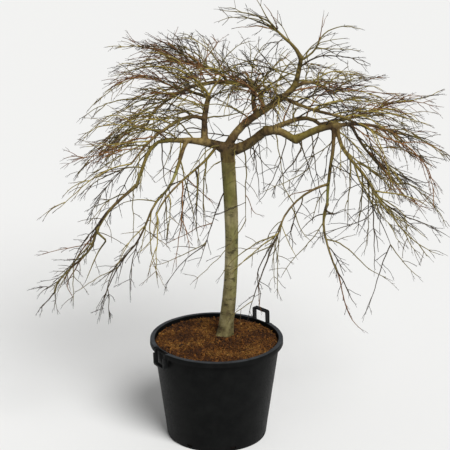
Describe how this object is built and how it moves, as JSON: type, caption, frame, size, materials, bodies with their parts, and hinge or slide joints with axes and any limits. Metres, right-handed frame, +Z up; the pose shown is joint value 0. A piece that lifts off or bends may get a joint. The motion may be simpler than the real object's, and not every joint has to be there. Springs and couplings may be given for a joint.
{
  "type": "potted japanese maple",
  "caption": "Bare winter japanese maple of weeping habit on a clear stem, in a round black nursery pot with hinged strap handles and bark-covered substrate.",
  "frame": {"origin": "centre of the pot's flat underside, on the ground", "axes": "+Z up along the pot's axis, +X to the right and +Y away from the viewer in the front view"},
  "size_m": [2.1053, 1.5899, 2.3298],
  "materials": {
    "pot_plastic": "matte black, slightly greyed on the lip",
    "substrate": "coarse damp bark and coir",
    "bark_trunk": "olive bark with dark cross marks",
    "bark_bough": "olive to yellow-green bark",
    "twigs": "dark brown twigs"
  },
  "bodies": {
    "plant": {"pot": "pot_plastic", "substrate": "substrate", "trunk": "bark_trunk", "bough_right": "bark_bough", "bough_left": "bark_bough", "leader_low": "bark_bough", "bough_left_riser": "bark_bough", "bough_left_arch": "bark_bough", "bough_left_front": "bark_bough", "bough_left_outer": "bark_bough", "weeper_left": "bark_bough", "weeper_left_tip": "bark_bough", "bough_left_drop": "bark_bough", "weeper_left_inner": "bark_bough", "bough_left_fore": "bark_bough", "leader_mid": "bark_bough", "leader_top": "bark_bough", "leader_top_right": "bark_bough", "riser_middle": "bark_bough", "arch_back_left": "bark_bough", "arch_back_left_end": "bark_bough", "bough_back_left": "bark_bough", "bough_back": "bark_bough", "bough_back_right": "bark_bough", "arch_right_upper": "bark_bough", "arch_right_fore": "bark_bough", "bough_right_lower": "bark_bough", "bough_right_upper": "bark_bough", "bough_right_rear": "bark_bough", "bough_right_knee": "bark_bough", "bough_right_out": "bark_bough", "weeper_right": "bark_bough", "weeper_right_tip": "bark_bough", "bough_right_sweep": "bark_bough", "bough_right_outer": "bark_bough", "weeper_right_inner": "bark_bough", "bough_back_left_low": "bark_bough", "mass_top": "twigs", "mass_top_right": "twigs", "mass_crest_left": "twigs", "mass_left_shoulder": "twigs", "mass_left_high": "twigs", "mass_left_front": "twigs", "mass_left_low": "twigs", "mass_left_inner": "twigs", "mass_left_fore": "twigs", "mass_right_inner": "twigs", "mass_right_low": "twigs", "mass_right_sweep": "twigs", "mass_right_outer": "twigs", "mass_right_out": "twigs", "mass_right_fore": "twigs", "mass_right_rear": "twigs", "mass_back_right": "twigs", "mass_back": "twigs", "mass_crown_left": "twigs", "mass_crown_centre": "twigs", "mass_fore_centre": "twigs"},
    "rear_handle": {"handle_rear": "pot_plastic"},
    "front_handle": {"handle_front": "pot_plastic"}
  },
  "joints": [
    {"name": "rear_handle_turn", "type": "hinge", "parent": "plant", "child": "rear_handle", "pos_m": [0.24458, 0.23618, 0.5335], "axis": [-0.6947, 0.7193, 0], "range_deg": [0, 184]},
    {"name": "front_handle_turn", "type": "hinge", "parent": "plant", "child": "front_handle", "pos_m": [-0.28834, -0.18017, 0.5335], "axis": [0.5299, -0.848, 0], "range_deg": [-184, 3]}
  ]
}
